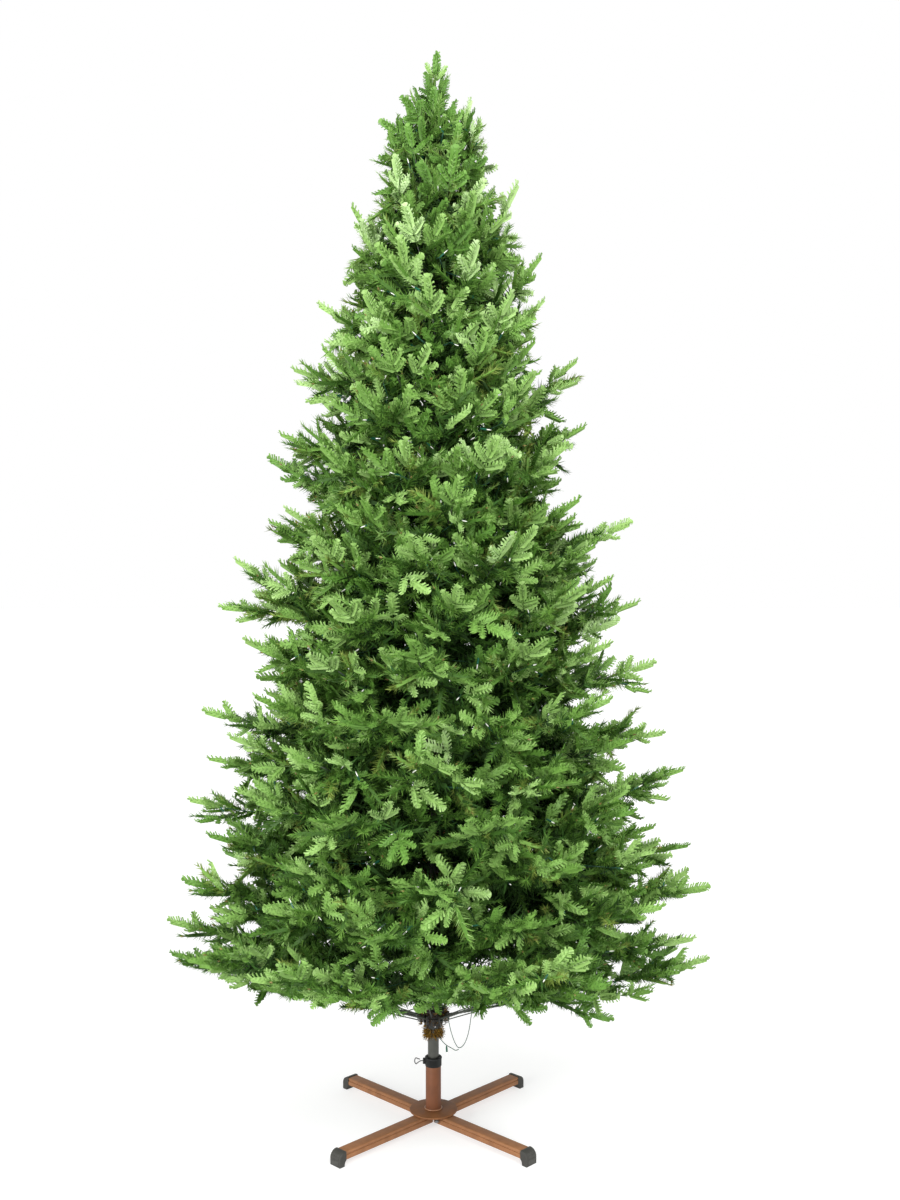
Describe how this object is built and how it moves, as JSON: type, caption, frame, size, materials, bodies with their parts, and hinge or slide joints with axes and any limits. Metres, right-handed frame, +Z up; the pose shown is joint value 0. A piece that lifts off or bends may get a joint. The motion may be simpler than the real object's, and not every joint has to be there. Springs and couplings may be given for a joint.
{
  "type": "artificial christmas tree",
  "caption": "Full artificial Christmas tree with mixed green needle tips and clear mini lights on a steel pole, in a folding metal stand with crossed legs.",
  "frame": {"origin": "on the floor, under the axis of the pole", "axes": "+Z up along the pole, -Y towards the front that the picture shows, +X to the picture's right"},
  "size_m": [1.3826, 1.3342, 2.743],
  "materials": {
    "foliage_low": "matte",
    "foliage_middle": "matte",
    "foliage_top": "matte",
    "pole_steel": "satin",
    "bough_wire": "satin",
    "collar_plastic": "satin",
    "stand_enamel": "satin",
    "foot_rubber": "matte",
    "zinc_steel": "satin",
    "needle_moulded": "satin",
    "needle_film": "satin",
    "brown_fringe": "satin",
    "light_glass": "gloss",
    "light_socket": "satin",
    "light_wire": "satin"
  },
  "bodies": {
    "root": {"bough_1": "bough_wire", "bough_2": "bough_wire", "bough_3": "bough_wire", "bough_4": "bough_wire", "bough_5": "bough_wire", "bough_6": "bough_wire", "eye_bolt": "zinc_steel", "foliage_tier1_1": "foliage_low", "foliage_tier1_2": "foliage_low", "foliage_tier1_3": "foliage_low", "foliage_tier1_4": "foliage_low", "foliage_tier1_5": "foliage_low", "foliage_tier1_6": "foliage_low", "foliage_tier2_1": "foliage_low", "foliage_tier2_2": "foliage_low", "foliage_tier2_3": "foliage_low", "foliage_tier2_4": "foliage_low", "foliage_tier2_5": "foliage_low", "foliage_tier3_1": "foliage_low", "foliage_tier3_2": "foliage_low", "foliage_tier3_3": "foliage_low", "foliage_tier3_4": "foliage_low", "foliage_tier3_5": "foliage_low", "foliage_tier4_1": "foliage_middle", "foliage_tier4_2": "foliage_middle", "foliage_tier4_3": "foliage_middle", "foliage_tier4_4": "foliage_middle", "foliage_tier4_5": "foliage_middle", "foliage_tier5_1": "foliage_middle", "foliage_tier5_2": "foliage_middle", "foliage_tier5_3": "foliage_middle", "foliage_tier5_4": "foliage_middle", "foliage_tier6_1": "foliage_middle", "foliage_tier6_2": "foliage_middle", "foliage_tier6_3": "foliage_middle", "foliage_tier6_4": "foliage_middle", "foliage_tier7_1": "foliage_top", "foliage_tier7_2": "foliage_top", "foliage_tier7_3": "foliage_top", "foliage_tier8_1": "foliage_top", "foliage_tier8_2": "foliage_top", "foliage_tier8_3": "foliage_top", "foliage_tier9_1": "foliage_top", "foliage_tier9_2": "foliage_top", "foliage_top_sprig": "foliage_top", "foot_cap_front_left": "foot_rubber", "foot_cap_front_right": "foot_rubber", "foot_cap_rear_left": "foot_rubber", "foot_cap_rear_right": "foot_rubber", "hinge_ring": "bough_wire", "hub_plate": "stand_enamel", "leg_front_left": "stand_enamel", "leg_front_right": "stand_enamel", "leg_rear_left": "stand_enamel", "leg_rear_right": "stand_enamel", "pivot_bolt": "zinc_steel", "stand_collar": "collar_plastic", "stand_tube": "stand_enamel", "trunk_pole": "pole_steel"}
  },
  "joints": []
}
